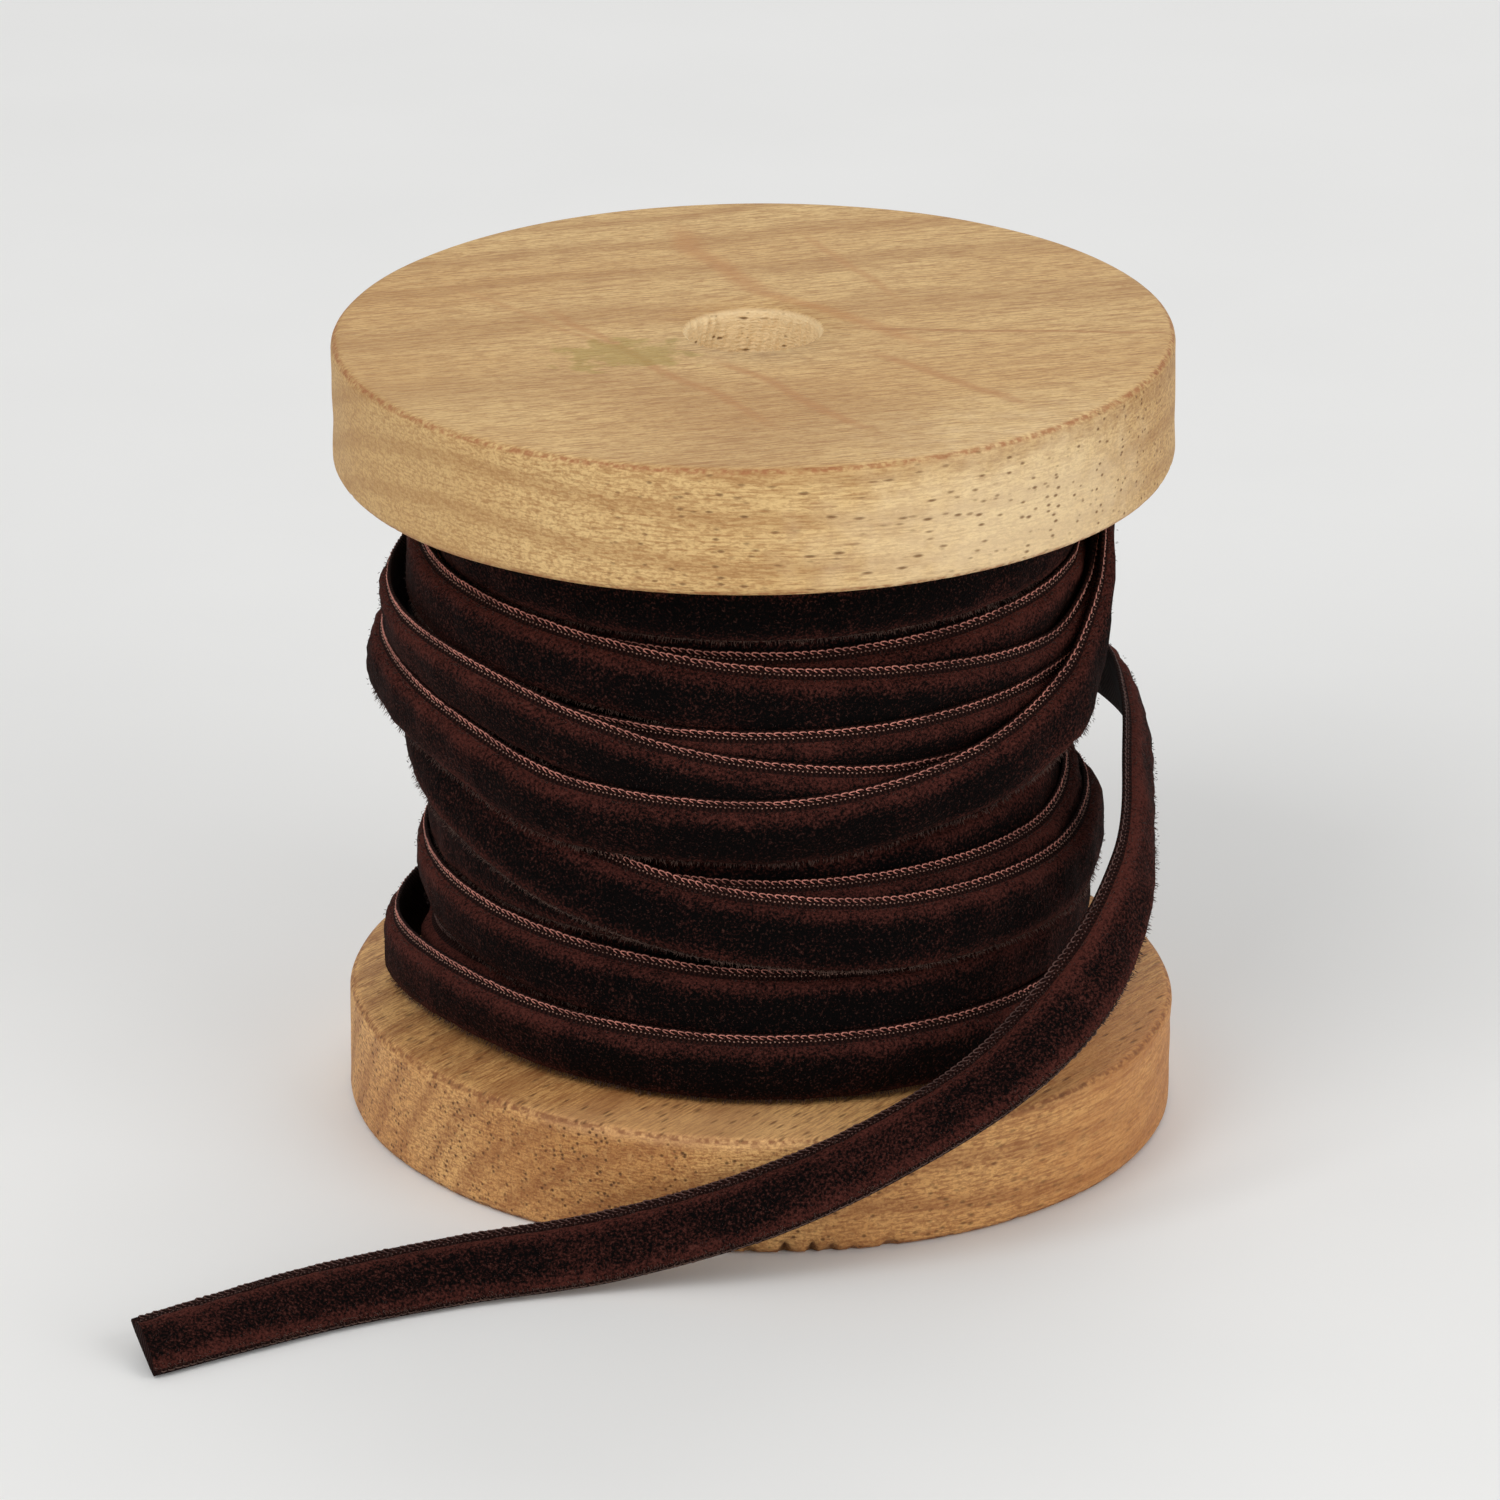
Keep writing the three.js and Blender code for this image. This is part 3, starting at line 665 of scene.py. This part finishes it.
def velvet_pile(name, extra_sheen):
    """Dense brown pile, near black, with reddish patches where it is crushed. It is painted redder toward
    its edges and round the roll's sides, as painted sheen for pile seen from the side. Extra_sheen adds
    that painted sheen all over."""
    finish, shader, start, where = blank_finish(name)
    crush = start.node("TexNoise", {}, {"Vector": where, "Scale": 0.1, "Detail": 4.0, "Distortion": 0.8})
    brushed = start.node("TexNoise", {}, {"Vector": where, "Scale": 0.6, "Detail": 3.0})
    hairs = start.node("TexNoise", {}, {"Vector": where, "Scale": 2.8, "Detail": 2.0, "Roughness": 0.7})
    aside = start.node("Attribute", {"attribute_name": "aside"}, out="Fac")
    # Painted sheen toward both edges of the pile, where its crowned, splayed shoulders are seen aslant.
    edge_sheen = aside.between(0.6, 3.5) + (1 - aside.between(-4.4, -2.2)) * 0.7
    # Painted sheen round the roll's sides, away from its front, where the pile is seen aslant.
    spread = start.node("VectorMath", {"operation": "MULTIPLY"}, {0: where, 1: (1, 1, 0)})
    spread = start.node("VectorMath", {"operation": "NORMALIZE"}, {0: spread}, out="Vector")
    facing = start.node("SeparateXYZ", {}, {0: spread}, out="Y")
    side_sheen = facing.between(-0.95, -0.55) * 0.28
    patches = crush.between(0.4, 0.7) * 0.35 + (brushed - 0.5) * 0.3
    # Crush patches and fine hairs are the pile's own colour; the edge, side and extra parts are painted
    # sheen.
    crush_and_sheen = patches + edge_sheen + side_sheen + (hairs - 0.5) * 4.2 + extra_sheen
    deep, warm = (0.0022, 0.0018, 0.0018, 1), (0.088, 0.0235, 0.0175, 1)
    colour = crush_and_sheen.between(0.1, 2.1).tint(deep, warm)
    colour = (hairs.between(0.6, 0.72) * 0.3).tint(colour, (0.07, 0.042, 0.032, 1))
    height = hairs + brushed * 0.5
    nap = start.node("Bump", {}, {"Strength": 1.0, "Distance": 0.3 * MM, "Height": height}, out="Normal")
    connect(start, shader, Base_Color=colour, Normal=nap)
    shader.inputs["Roughness"].default_value = 0.9
    shader.inputs["Specular IOR Level"].default_value = 0.04
    shader.inputs["Sheen Weight"].default_value = 0.06
    shader.inputs["Sheen Roughness"].default_value = 0.3
    shader.inputs["Sheen Tint"].default_value = (0.5, 0.2, 0.15, 1)
    return finish


def plain_thread(name, light, dark, sheen=0.0):
    """Twisted thread with fine plies along it: painted highlight on its crowns, painted shade where it
    dives under.
    """
    finish, shader, start, where = blank_finish(name)
    patch = start.node("TexNoise", {}, {"Vector": where, "Scale": 0.16, "Detail": 2.0})
    ply = start.node("TexNoise", {}, {"Vector": where, "Scale": 5.5, "Detail": 2.0})
    painted_light = start.node("Attribute", {"attribute_name": "painted_light"}, out="Fac")
    colour = painted_light.between(0.1, 0.85).tint(dark, light)
    colour = (patch.between(0.4, 0.7) * 0.45).tint(colour, dark)
    colour = (ply.between(0.5, 0.74) * 0.4).tint(colour, dark)
    twist = start.node("Bump", {}, {"Strength": 0.6, "Distance": 0.08 * MM, "Height": ply}, out="Normal")
    connect(start, shader, Base_Color=colour, Normal=twist)
    shader.inputs["Roughness"].default_value = 0.62
    shader.inputs["Specular IOR Level"].default_value = 0.3
    shader.inputs["Sheen Weight"].default_value = sheen
    shader.inputs["Sheen Tint"].default_value = (0.8, 0.5, 0.44, 1)
    return finish


# The weave's threads lie this far apart along the tape and across it.
WEFT_PITCH = 0.33
WARP_PITCH = 0.3


def tape_weave():
    """The woven ground of the tape, which shows on its back and beside the corded edges."""
    finish, shader, start, where = blank_finish("brown tape weave")
    along = start.node("Attribute", {"attribute_name": "along"}, out="Fac")
    aside = start.node("Attribute", {"attribute_name": "aside"}, out="Fac")
    over = start.math("SINE", along * (math.pi / WEFT_PITCH))
    under = start.math("SINE", aside * (math.pi / WARP_PITCH))
    check = over * under
    shade = start.node("TexNoise", {}, {"Vector": where, "Scale": 0.3, "Detail": 2.0})
    colour = check.between(-0.8, 0.8).tint((0.005, 0.0015, 0.0012, 1), (0.028, 0.0085, 0.006, 1))
    colour = (shade.between(0.4, 0.65) * 0.5).tint(colour, (0.01, 0.003, 0.0025, 1))
    weave = start.node("Bump", {}, {"Strength": 0.7, "Distance": 0.12 * MM, "Height": check}, out="Normal")
    connect(start, shader, Base_Color=colour, Normal=weave)
    shader.inputs["Roughness"].default_value = 0.85
    shader.inputs["Specular IOR Level"].default_value = 0.08
    return finish


pile = velvet_pile("brown velvet pile", 0)
# The same velvet for the loose end, painted lighter all over as painted sheen.
sheen_painted_pile = velvet_pile("velvet pile, more painted sheen", 0.35)
weave = tape_weave()
cord_thread = plain_thread("rose brown cord", (0.72, 0.28, 0.215, 1), (0.03, 0.007, 0.005, 1))
# A darker copy of the rose brown cord, as painted shade, for the buried turns and the loose end.
shaded_cord_thread = plain_thread("brown cord, painted shade", (0.13, 0.062, 0.05, 1), (0.014, 0.005, 0.004, 1))
stitch_thread = plain_thread("pale stitch", (0.36, 0.2, 0.15, 1), (0.04, 0.012, 0.009, 1))
tip_hair = plain_thread("loose pile hair", (0.13, 0.07, 0.05, 1), (0.014, 0.006, 0.005, 1), sheen=0.1)

# Wound ribbon: the turns that show, laid on the roll one after another. Each turn rests on what is
# already there, so it bridges gaps, tilts over the turn below and stands off where it is slack.
LEAN_SLOPE = math.tan(SPOOL_LEAN)
ROLL_BOTTOM = LOWER_THICKNESS + GLUE_GAP
ROLL_TOP = UPPER_UNDERSIDE - 2 * GLUE_GAP
WOUND_RADIUS = 43
HALF_WIDTH = RIBBON_WIDTH / 2
EDGE_THICKNESS = 0.9

# The roll's skin is kept as a radius for each degree round and each of these rows up.
ROLL_COLUMNS = 360
ROLL_ROWS = 140
SIDE_STEEPNESS = 3

# A turn is laid on the skin at these shares of its half width, then smoothed this many degrees each
# way. Its slope is held to the most that cloth leans before it slips off the turn below.
RESTING_POINTS = np.array([-1, -0.75, -0.4, 0, 0.4, 0.75, 1])
SMOOTHING_REACH = 15
MOST_TILT = 0.36

# The stations start at the right, in degrees from the front, and go round the front to the left.
FIRST_STATION = 90
STATION_SPACING = 30
LAST_TURN_END = 300

# Outer radius of the buried windings, which the main turns lie on, by height above the floor.
BURIED_WINDING = [(15, 40.4), (34, 40.0), (43, 39.0), (58, 37.6), (72, 38.0), (80, 39.0), (87, 39.4)]

# Height of each turn's upper edge as it passes seven stations from right to left across the front,
# and how far it stands off what is under it at those and at one behind the left side; with a minus
# it is pulled in tight. The first row is the innermost turn, and the last says where the ribbon goes
# as it comes round the back to leave.
TURNS = [
    {"heights": [86.0, 85.9, 85.7, 85.3, 84.9, 84.7, 84.5], "off": [0, 0, 0, 0, 0, 0, 0, 0]},
    {"heights": [79.0, 76.8, 75.0, 74.3, 74.4, 74.5, 74.6], "off": [0, 0, 0, 0, 0, 0, 0, 0]},
    {"heights": [80.0, 70.9, 72.1, 73.4, 75.3, 76.3, 76.8], "off": [0.5, 0.3, 0, 0, 0, 0.2, 0.4, 0.6]},
    {"heights": [71.0, 67.0, 66.0, 65.5, 65.0, 64.5, 66.0], "off": [0.6, 0, 0, 0, 0, 0.4, 1.4, 2.4]},
    {"heights": [47.0, 45.0, 44.8, 44.6, 45.0, 45.0, 45.0], "off": [0, 0, 0, 0, 0, 0, 0, 0]},
    {"heights": [35.6, 34.0, 33.3, 33.4, 34.6, 36.2, 36.8], "off": [0, 0, 0, 0, 0, 0, 0, 0]},
    {"heights": [25.7, 25.7, 25.7, 25.6, 25.8, 26.8, 25.9], "off": [0, 0, 0, 0, 0.4, 2.4, 6, 0]},
    {"heights": [43.5, 42.2, 42.3, 44.0, 47.6, 52.0, 55.5], "off": [0, 0, 0, 0, 0, 0.6, 3.6, 1.6]},
    {"heights": [62.5, 60.8, 60.3, 62.3, 65.9, 69.0, 70.0], "off": [0, 0, 0, 0, 0, 0.5, 1.7, 1.2]},
    {"heights": [82.5, 66.8, 60.2, 57.0, 56.7, 60.3, 63.0], "off": [-0.4, 0, 0, 0, 0, -0.2, -0.4, -0.2]},
    {"heights": [55.5], "off": [3]},
]
LAST_TURN_START = 360 * (len(TURNS) - 2)

# How far the last full turn's lower edge is pressed in at the right and held out at the left.
EDGE_BENDS = [
    {"along": LAST_TURN_START - 5, "out": -2.8},
    {"along": LAST_TURN_START + 187, "out": 3.2},
]


def eased(stations, where):
    """A curve through uneven stations, eased so that it doesn't overshoot them."""
    at, value = (np.array(column, float) for column in zip(*stations))
    pace = np.diff(value) / np.diff(at)
    gradient = np.zeros(len(at))
    same_way = pace[:-1] * pace[1:] > 0
    both = np.where(same_way, pace[:-1] + pace[1:], 1)
    gradient[1:-1] = np.where(same_way, 2 * pace[:-1] * pace[1:] / both, 0)
    where = np.clip(np.asarray(where, float), at[0], at[-1])
    k = np.clip(np.searchsorted(at, where, side="left") - 1, 0, len(at) - 2)
    span = at[k + 1] - at[k]
    t = (where - at[k]) / span
    rise = t * t * (3 - 2 * t)
    curved = t * (1 - t) ** 2 * gradient[k] - t * t * (1 - t) * gradient[k + 1]
    return value[k] + (value[k + 1] - value[k]) * rise + span * curved


def smoothed(values, reach):
    """A running mean over this many steps each way."""
    kernel = np.ones(2 * reach + 1)
    return np.convolve(values, kernel, "same") / np.convolve(np.ones(len(values)), kernel, "same")


height_stations = [(n * 360 + i * STATION_SPACING, height)
                   for n, turn in enumerate(TURNS) for i, height in enumerate(turn["heights"])]
off_stations = [(n * 360 + i * STATION_SPACING, off)
                for n, turn in enumerate(TURNS) for i, off in enumerate(turn["off"])]
row_heights = np.linspace(ROLL_BOTTOM, ROLL_TOP, ROLL_ROWS + 1)
step = 360 / ROLL_COLUMNS
along = np.arange(0, LAST_TURN_START + LAST_TURN_END + step / 2, step)
climb = (eased(height_stations, along + step) - eased(height_stations, along - step))
climb = climb / (2 * math.radians(step) * WOUND_RADIUS)
half_height = HALF_WIDTH * np.hypot(1, climb)
middle_height = eased(height_stations, along) - half_height
stand_off = eased(off_stations, along)
skin = np.tile(eased(BURIED_WINDING, row_heights), (ROLL_COLUMNS, 1))
rest_radius, rest_tilt = np.zeros(len(along)), np.zeros(len(along))

# At each degree the ribbon is a straight line that rests on one point above its middle and one below
# it, the pair that holds it furthest out. Its outside then becomes the skin for the turns after it.
for k in range(len(along)):
    column = k % ROLL_COLUMNS
    points_across = RESTING_POINTS * half_height[k]
    under = np.interp(middle_height[k] + points_across, row_heights, skin[column])
    low, high = points_across <= 0, points_across > 0
    span = points_across[high][None] - points_across[low][:, None]
    tilt = (under[high][None] - under[low][:, None]) / span
    radius = under[low][:, None] - tilt * points_across[low][:, None]
    best = np.unravel_index(np.argmax(radius), radius.shape)
    rest_tilt[k] = np.clip(tilt[best], -MOST_TILT, MOST_TILT)
    rest_radius[k] = np.max(under - rest_tilt[k] * points_across) + stand_off[k]
    aside = row_heights - middle_height[k]
    side = np.minimum(np.abs(aside) / half_height[k], 1)
    beyond = np.maximum(np.abs(aside) - half_height[k], 0)
    rise = PILE_HEIGHT + (EDGE_THICKNESS - PILE_HEIGHT) * side ** 5 - beyond * SIDE_STEEPNESS
    outside = rest_radius[k] + rest_tilt[k] * np.clip(aside, -half_height[k], half_height[k]) + rise
    skin[column] = np.maximum(skin[column], outside)
rest_radius = smoothed(rest_radius, SMOOTHING_REACH)
rest_tilt = smoothed(rest_tilt, SMOOTHING_REACH)
held_out = sum(bend["out"] * np.exp(-((along - bend["along"]) / STATION_SPACING) ** 2)
               for bend in EDGE_BENDS)
rest_radius = rest_radius + held_out / 2
rest_tilt = rest_tilt - held_out / (2 * half_height)


def on_roll(turn_degrees, radius, height):
    """A point at this angle from the front, radius and height, on the leaning barrel's axis."""
    angle = np.radians(turn_degrees)
    return np.stack([radius * np.sin(angle) - height * LEAN_SLOPE, -radius * np.cos(angle), height], -1)


turn_degrees = FIRST_STATION - along
upper_edge = on_roll(turn_degrees, rest_radius + rest_tilt * half_height, middle_height + half_height)
lower_edge = on_roll(turn_degrees, rest_radius - rest_tilt * half_height, middle_height - half_height)
wound = ribbon_path((upper_edge + lower_edge) / 2, (upper_edge - lower_edge) / RIBBON_WIDTH)

wound_pieces = [
    ribbon_tape("wound_velvet", wound, [pile, weave], seed=21),
    edge_cord("wound_cord_upper", wound, 1, cord_thread),
    edge_cord("wound_cord_lower", wound, -1, tip_hair, segments=5),
    stitch_row("wound_stitches", wound, 1, stitch_thread),
    pile_tips("wound_pile_tips", wound, tip_hair, edge_density=10, face_density=3, seed=31),
]
for piece in wound_pieces:
    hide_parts("ribbon_roll")

# Buried windings: the many turns under those that show, wound edge to edge, and the solid heart of
# ribbon between them and the barrel. They are seen only in the dark gaps between the main turns.
BURIED_STEP = 3
BURIED_TURNS = 7
BURIED_GAP = 0.15
HEART_INSIDE = BARREL_RADIUS + GLUE_GAP
HEART_TOP = ROLL_TOP - 0.8
HEART_OUTLINE = [(HEART_INSIDE, ROLL_BOTTOM), (33, ROLL_BOTTOM), (34.5, 20), (34.5, 80), (33, HEART_TOP),
                 (HEART_INSIDE, HEART_TOP)]

# Two slack places at the left, where the buried turns swell out behind the main ones: at the foot of
# the roll and above its middle. Each fades with the angle from the front and with the height.
SWELLINGS = [
    {"turn": -78, "turn_reach": 24, "height": ROLL_BOTTOM, "height_reach": 9, "sharpness": 4, "out": 3.4},
    {"turn": -105, "turn_reach": 28, "height": 61, "height_reach": 8, "sharpness": 2, "out": 4.5},
]

buried_along = np.arange(0, 360 * BURIED_TURNS + 1, BURIED_STEP)
buried_drop = (ROLL_TOP - ROLL_BOTTOM - RIBBON_WIDTH - 2 * BURIED_GAP) / (BURIED_TURNS - 1)
buried_middle = ROLL_TOP - HALF_WIDTH - BURIED_GAP
buried_middle = buried_middle - buried_drop * np.clip((buried_along - 180) / 360, 0, BURIED_TURNS - 1)
buried_turn = (FIRST_STATION - buried_along + 180) % 360 - 180
slack = np.zeros(len(buried_along))
for swelling in SWELLINGS:
    round_it = ((buried_turn - swelling["turn"]) / swelling["turn_reach"]) ** 2
    up_it = ((buried_middle - swelling["height"]) / swelling["height_reach"]) ** swelling["sharpness"]
    slack = slack + swelling["out"] * np.exp(-round_it - up_it)
edge_pair = []
for side in (HALF_WIDTH, -HALF_WIDTH):
    edge_height = buried_middle + side
    edge_radius = eased(BURIED_WINDING, edge_height) - PILE_HEIGHT - BURIED_GAP + slack
    edge_pair.append(on_roll(buried_turn, edge_radius, edge_height))
buried = ribbon_path((edge_pair[0] + edge_pair[1]) / 2, (edge_pair[0] - edge_pair[1]) / RIBBON_WIDTH)
heart_radius, heart_height = all_round(HEART_OUTLINE, BARREL_COLUMNS)
heart = turned("buried_heart", heart_radius, heart_height, weave,
               {"along": np.zeros(heart_radius.shape), "aside": np.zeros(heart_radius.shape)},
               SPOOL_LEAN, closed=True)
# The buried cord takes the darker copy of the cord, as painted shade.
buried_pieces = [
    heart,
    ribbon_tape("buried_velvet", buried, [pile, weave], seed=51),
    edge_cord("buried_cord", buried, 1, shaded_cord_thread, segments=5),
]
for piece in buried_pieces:
    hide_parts("ribbon_roll")

# Loose end: the ribbon goes on from the last turn at the back right, bows out beside the roll, comes
# down past the front of the lower disc and lies on its edge, and is cut off slantwise at the end.
LOOSE_END = [
    {"x": 23.3, "y": 41.6, "z": 52, "lean": 88},
    {"x": 36.6, "y": 33, "z": 50, "lean": 84},
    {"x": 43.9, "y": 20, "z": 49.5, "lean": 78},
    {"x": 46.2, "y": 5, "z": 48.8, "lean": 72},
    {"x": 46.2, "y": -11, "z": 46.5, "lean": 70},
    {"x": 45.4, "y": -26, "z": 40.5, "lean": 67},
    {"x": 40.6, "y": -39.5, "z": 33, "lean": 50},
    {"x": 30.4, "y": -49.5, "z": 24, "lean": 30},
    {"x": 15.6, "y": -55.5, "z": 15.8, "lean": 32},
    {"x": 0, "y": -59, "z": 9.5, "lean": 42},
    {"x": -18, "y": -61, "z": 4.6, "lean": 42},
    {"x": -36, "y": -65.5, "z": 3.1, "lean": 36},
    {"x": -52, "y": -73, "z": 2.7, "lean": 31},
    {"x": -64, "y": -80.5, "z": 2.3, "lean": 26},
    {"x": -73, "y": -86.5, "z": 2, "lean": 22},
]
LOOSE_STEPS = 420
FLOOR_CLEARANCE = 0.05

# How far the ribbon takes to turn from the roll's lean to its own, and how far before its end it
# starts to slant, both in stretches of the route, and how slanting its cut is in millimetres.
JOIN_REACH = 1.2
END_REACH = 2
END_SLANT = 2


def curve_through(points, count):
    """Points on a smooth curve through these places, evenly spaced in each stretch. Its pace follows
    their distances, so it doesn't loop where they are close."""
    knots = np.vstack([2 * points[0] - points[1], points, 2 * points[-1] - points[-2]])
    made = []
    for t in np.linspace(0, len(points) - 1, count):
        k = min(int(t), len(points) - 2)
        four = knots[k:k + 4]
        gap = np.sqrt(np.linalg.norm(np.diff(four, axis=0), axis=1))
        pace = np.diff(four, axis=0) / gap[:, None]
        slope_in = (pace[0] - (four[2] - four[0]) / (gap[0] + gap[1]) + pace[1]) * gap[1]
        slope_out = (pace[1] - (four[3] - four[1]) / (gap[1] + gap[2]) + pace[2]) * gap[1]
        s = t - k
        made.append((2 * s ** 3 - 3 * s ** 2 + 1) * four[1] + (s ** 3 - 2 * s ** 2 + s) * slope_in
                    + (3 * s ** 2 - 2 * s ** 3) * four[2] + (s ** 3 - s ** 2) * slope_out)
    return np.array(made)


route = np.array([(row["x"], row["y"], row["z"]) for row in LOOSE_END], float)
route[0] = wound["middle"][-1]
loose_middle = curve_through(route, LOOSE_STEPS)
onward = unit(np.gradient(loose_middle, axis=0))
share = np.linspace(0, len(LOOSE_END) - 1, LOOSE_STEPS)
lean = np.interp(share, range(len(LOOSE_END)), [row["lean"] for row in LOOSE_END])
lean = np.radians(lean)[:, None]
inward = unit(np.stack([onward[:, 1], -onward[:, 0], np.zeros(LOOSE_STEPS)], -1))
upright = np.cross(inward, onward)
loose_across = inward * np.cos(lean) + upright * np.sin(lean)
join = np.clip(share / JOIN_REACH, 0, 1)[:, None]
join = join * join * (3 - 2 * join)
loose_across = unit(wound["across"][-1] * (1 - join) + loose_across * join)

# Near the end one edge is drawn back along the ribbon, which slants the cut.
to_end = np.clip(share - len(LOOSE_END) + 1 + END_REACH, 0, 1)[:, None]
loose_across = unit(loose_across - onward * to_end * (END_SLANT / RIBBON_WIDTH))
loose = ribbon_path(loose_middle, loose_across)

# The loose end's pile is the lighter copy of the velvet, with painted sheen all over.
loose_velvet = ribbon_tape("loose_velvet", loose, [sheen_painted_pile, weave], seed=61)

# Where the ribbon lies on the table, nothing of it goes through.
for vertex in loose_velvet.data.vertices:
    vertex.co.z = max(vertex.co.z, FLOOR_CLEARANCE * MM)
# The loose end's upper cord and stitches take the darker copy of the cord, as painted shade.
loose_trim = [
    edge_cord("loose_cord_upper", loose, 1, shaded_cord_thread),
    edge_cord("loose_cord_lower", loose, -1, tip_hair),
    stitch_row("loose_stitches_upper", loose, 1, shaded_cord_thread),
    stitch_row("loose_stitches_lower", loose, -1, shaded_cord_thread),
    pile_tips("loose_pile_tips", loose, tip_hair, edge_density=10, face_density=8, seed=71),
]
for piece in [loose_velvet, *loose_trim]:
    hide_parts("ribbon_tail")

# Setting: a plain pale table top that the spool stands on, under three broad soft lamps, the strongest
# of them at the upper left, in a room of even white light.
bpy.context.scene.view_settings.view_transform = "Standard"
TABLE_HALF = 3.0
table_corners = [(x * TABLE_HALF, y * TABLE_HALF, 0) for x, y in [(-1, -1), (1, -1), (1, 1), (-1, 1)]]
table = bpy.data.meshes.new("table_top")
table.from_pydata(table_corners, [], [(0, 1, 2, 3)])
table_top = bpy.data.objects.new("table_top", table)
bpy.context.scene.collection.objects.link(table_top)
table_finish, table_shader, table_start, table_where = blank_finish("pale table")
speck = table_start.node("TexNoise", {}, {"Vector": table_where, "Scale": 0.02, "Detail": 2.0})
connect(table_start, table_shader, Base_Color=speck.tint((0.86, 0.86, 0.85, 1), (0.9, 0.9, 0.89, 1)))
table_shader.inputs["Roughness"].default_value = 0.9
table.materials.append(table_finish)

world = bpy.data.worlds.new("soft room")
world.use_nodes = True
world.node_tree.nodes["Background"].inputs["Color"].default_value = (1, 1, 1, 1)
world.node_tree.nodes["Background"].inputs["Strength"].default_value = 0.5
bpy.context.scene.world = world

LAMPS = [
    {"name": "key", "place": (-0.55, -0.75, 0.95), "size": 0.7, "watts": 6},
    {"name": "fill", "place": (0.85, -0.7, 0.55), "size": 0.8, "watts": 4},
    {"name": "back", "place": (0.2, 0.9, 0.9), "size": 0.8, "watts": 3},
]
for lamp in LAMPS:
    light = bpy.data.lights.new(lamp["name"], "AREA")
    light.size = lamp["size"]
    light.energy = lamp["watts"]
    hung = bpy.data.objects.new(lamp["name"], light)
    bpy.context.scene.collection.objects.link(hung)
    hung.location = lamp["place"]
    toward = LOOK_AT * MM - Vector(lamp["place"])
    hung.rotation_mode = "QUATERNION"
    hung.rotation_quaternion = toward.to_track_quat("-Z", "Y")
